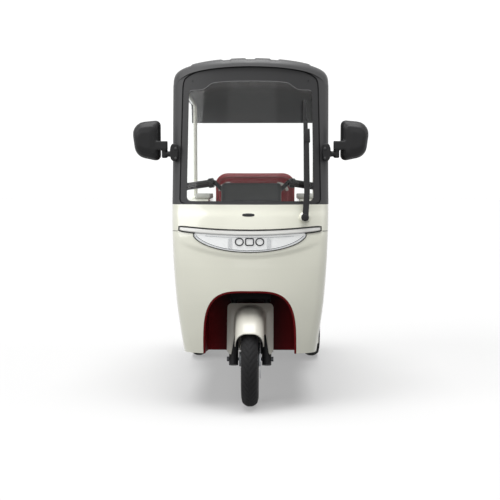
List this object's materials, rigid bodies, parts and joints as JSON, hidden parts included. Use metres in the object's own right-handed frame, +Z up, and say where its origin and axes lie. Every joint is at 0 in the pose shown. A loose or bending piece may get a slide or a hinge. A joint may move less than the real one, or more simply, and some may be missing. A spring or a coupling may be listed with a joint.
{
  "type": "electric three-wheeler",
  "caption": "Small covered electric passenger trike with a steered front wheel under a cowl, a windscreen, a full roof, a driver's seat and a bench between side bodies over the rear wheels.",
  "frame": {"origin": "on the ground under the centre of the overall box", "axes": "-Y is the front, +Y the rear, +X the vehicle's left-hand side, +Z up"},
  "size_m": [1.165, 2, 1.7132],
  "materials": {
    "frame_black": "satin black paint",
    "floor_black": "ribbed matt plastic",
    "body_cream": "gloss cream paint",
    "inner_maroon": "grained maroon plastic",
    "lamp_silver": "bright moulded reflector",
    "lamp_clear": "clear lens",
    "lamp_white": "white light bar",
    "roof_grey": "satin dark grey paint",
    "screen_glass": "clear glass with a black printed border",
    "trim_black": "satin black plastic",
    "rail_cream": "cream painted tube",
    "mirror_face": "polished mirror",
    "battery_grey": "moulded case",
    "seat_maroon": "maroon leathercloth with light piping",
    "pad_grey": "soft grey pad",
    "lens_red": "red lens",
    "drive_grey": "painted casting",
    "motor_alu": "cast aluminium",
    "spring_steel": "painted spring steel",
    "bright_steel": "bare steel",
    "fender_cream": "painted moulding",
    "tyre": "rubber",
    "rim_alloy": "silver painted alloy"
  },
  "bodies": {
    "chassis": {"chassis_frame": "frame_black", "floor_pan": "floor_black", "side_sills": "body_cream", "front_apron": "body_cream", "front_cowl": "body_cream", "wheel_arch_liner": "inner_maroon", "leg_shield": "inner_maroon", "centre_console": "inner_maroon", "headlamp_housing": "lamp_silver", "headlamp_lens": "lamp_clear", "headlamp_bar": "lamp_white", "windscreen_frame": "roof_grey", "windscreen_glass": "screen_glass", "windscreen_wiper": "trim_black", "roof": "roof_grey", "roof_rails": "rail_cream", "mirrors": "trim_black", "mirror_glasses": "mirror_face", "driver_seat_box": "trim_black", "battery_pack": "battery_grey", "driver_cushion": "seat_maroon", "driver_backrest": "seat_maroon", "bench_box": "body_cream", "bench_cushion": "seat_maroon", "bench_backrest": "seat_maroon", "armrests": "pad_grey", "side_body_left": "body_cream", "side_body_right": "body_cream", "rear_panel": "body_cream", "tail_lamps": "lens_red", "rear_bumper": "trim_black", "rear_axle": "drive_grey", "drive_motor": "motor_alu", "leaf_springs": "spring_steel"},
    "steering": {"fork": "frame_black", "fork_legs": "frame_black", "front_axle": "bright_steel", "brake_caliper": "drive_grey", "front_fender": "fender_cream", "handlebar": "frame_black", "hand_controls": "trim_black", "instrument_pod": "trim_black"},
    "front_wheel": {"front_tyre": "tyre", "front_rim": "rim_alloy", "brake_disc": "bright_steel"},
    "rear_wheel_left": {"rear_tyre_left": "tyre", "rear_rim_left": "rim_alloy"},
    "rear_wheel_right": {"rear_tyre_right": "tyre", "rear_rim_right": "rim_alloy"}
  },
  "joints": [
    {"name": "steering", "type": "hinge", "parent": "chassis", "child": "steering", "pos_m": [0, -0.73847, 0.22373], "axis": [0, 0.309, 0.9511], "range_deg": [-35, 35]},
    {"name": "front_wheel_spin", "type": "hinge", "parent": "steering", "child": "front_wheel", "pos_m": [0, -0.767, 0.233], "axis": [1, 0, 0], "continuous": true},
    {"name": "rear_wheel_left_spin", "type": "hinge", "parent": "chassis", "child": "rear_wheel_left", "pos_m": [0.3575, 0.683, 0.233], "axis": [1, 0, 0], "continuous": true},
    {"name": "rear_wheel_right_spin", "type": "hinge", "parent": "chassis", "child": "rear_wheel_right", "pos_m": [-0.3575, 0.683, 0.233], "axis": [1, 0, 0], "continuous": true}
  ]
}
